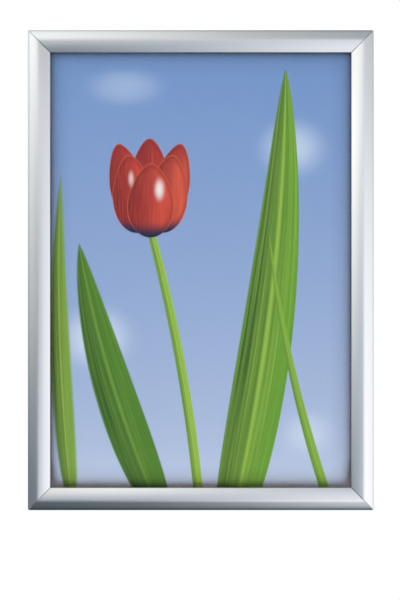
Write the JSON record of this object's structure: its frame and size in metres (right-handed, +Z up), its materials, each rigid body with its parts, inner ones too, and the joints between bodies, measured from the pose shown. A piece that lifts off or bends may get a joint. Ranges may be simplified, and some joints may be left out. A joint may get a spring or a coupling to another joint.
{
  "type": "snap frame",
  "caption": "Wall-hung poster frame in mitred silver rails whose front covers flip open on sprung hinges to change the print behind a clear sheet.",
  "frame": {"origin": "middle of the four wall screw holes, on the wall plane at the frame's back", "axes": "+Z up along the long side, +X to the right seen from the front, the printed front faces -Y"},
  "size_m": [0.317, 0.0111, 0.44],
  "materials": {
    "base_aluminium": "extruded aluminium, satin silver anodised, mitred and drilled",
    "cover_aluminium": "extruded aluminium, satin silver anodised, with fine lines along the rail",
    "zinc_steel": "stamped steel, bright zinc plated",
    "screw_steel": "hardened steel, black oxide",
    "spring_steel": "tempered spring steel strip, blue grey",
    "panel_styrene": "extruded white polystyrene sheet, eggshell",
    "printed_paper": "coated poster paper, full colour print",
    "clear_sheet": "clear PVC sheet, low glare"
  },
  "bodies": {
    "frame": {"base_rail_bottom": "base_aluminium", "base_rail_left": "base_aluminium", "base_rail_top": "base_aluminium", "base_rail_right": "base_aluminium", "corner_key_bottom_left": "zinc_steel", "corner_key_top_left": "zinc_steel", "corner_key_top_right": "zinc_steel", "corner_key_bottom_right": "zinc_steel", "corner_key_screws": "screw_steel", "back_panel": "panel_styrene", "poster": "printed_paper", "cover_sheet": "clear_sheet", "spring_clip_bottom_1": "spring_steel", "spring_clip_bottom_2": "spring_steel", "spring_clip_left_1": "spring_steel", "spring_clip_left_2": "spring_steel", "spring_clip_left_3": "spring_steel", "spring_clip_top_1": "spring_steel", "spring_clip_top_2": "spring_steel", "spring_clip_right_1": "spring_steel", "spring_clip_right_2": "spring_steel", "spring_clip_right_3": "spring_steel"},
    "cover_bottom": {"cover_rail_bottom": "cover_aluminium"},
    "cover_left": {"cover_rail_left": "cover_aluminium"},
    "cover_top": {"cover_rail_top": "cover_aluminium"},
    "cover_right": {"cover_rail_right": "cover_aluminium"}
  },
  "joints": [
    {"name": "cover_bottom_hinge", "type": "hinge", "parent": "frame", "child": "cover_bottom", "pos_m": [0, -0.005, -0.2173], "axis": [1, 0, 0], "range_deg": [0, 90], "deforming": ["spring_clip_bottom_1", "spring_clip_bottom_2"]},
    {"name": "cover_left_hinge", "type": "hinge", "parent": "frame", "child": "cover_left", "pos_m": [-0.1558, -0.005, 0], "axis": [0, 0, -1], "range_deg": [0, 90], "deforming": ["spring_clip_left_1", "spring_clip_left_2", "spring_clip_left_3"]},
    {"name": "cover_top_hinge", "type": "hinge", "parent": "frame", "child": "cover_top", "pos_m": [0, -0.005, 0.2173], "axis": [-1, 0, 0], "range_deg": [0, 90], "deforming": ["spring_clip_top_1", "spring_clip_top_2"]},
    {"name": "cover_right_hinge", "type": "hinge", "parent": "frame", "child": "cover_right", "pos_m": [0.1558, -0.005, 0], "axis": [0, 0, 1], "range_deg": [0, 90], "deforming": ["spring_clip_right_1", "spring_clip_right_2", "spring_clip_right_3"]}
  ]
}
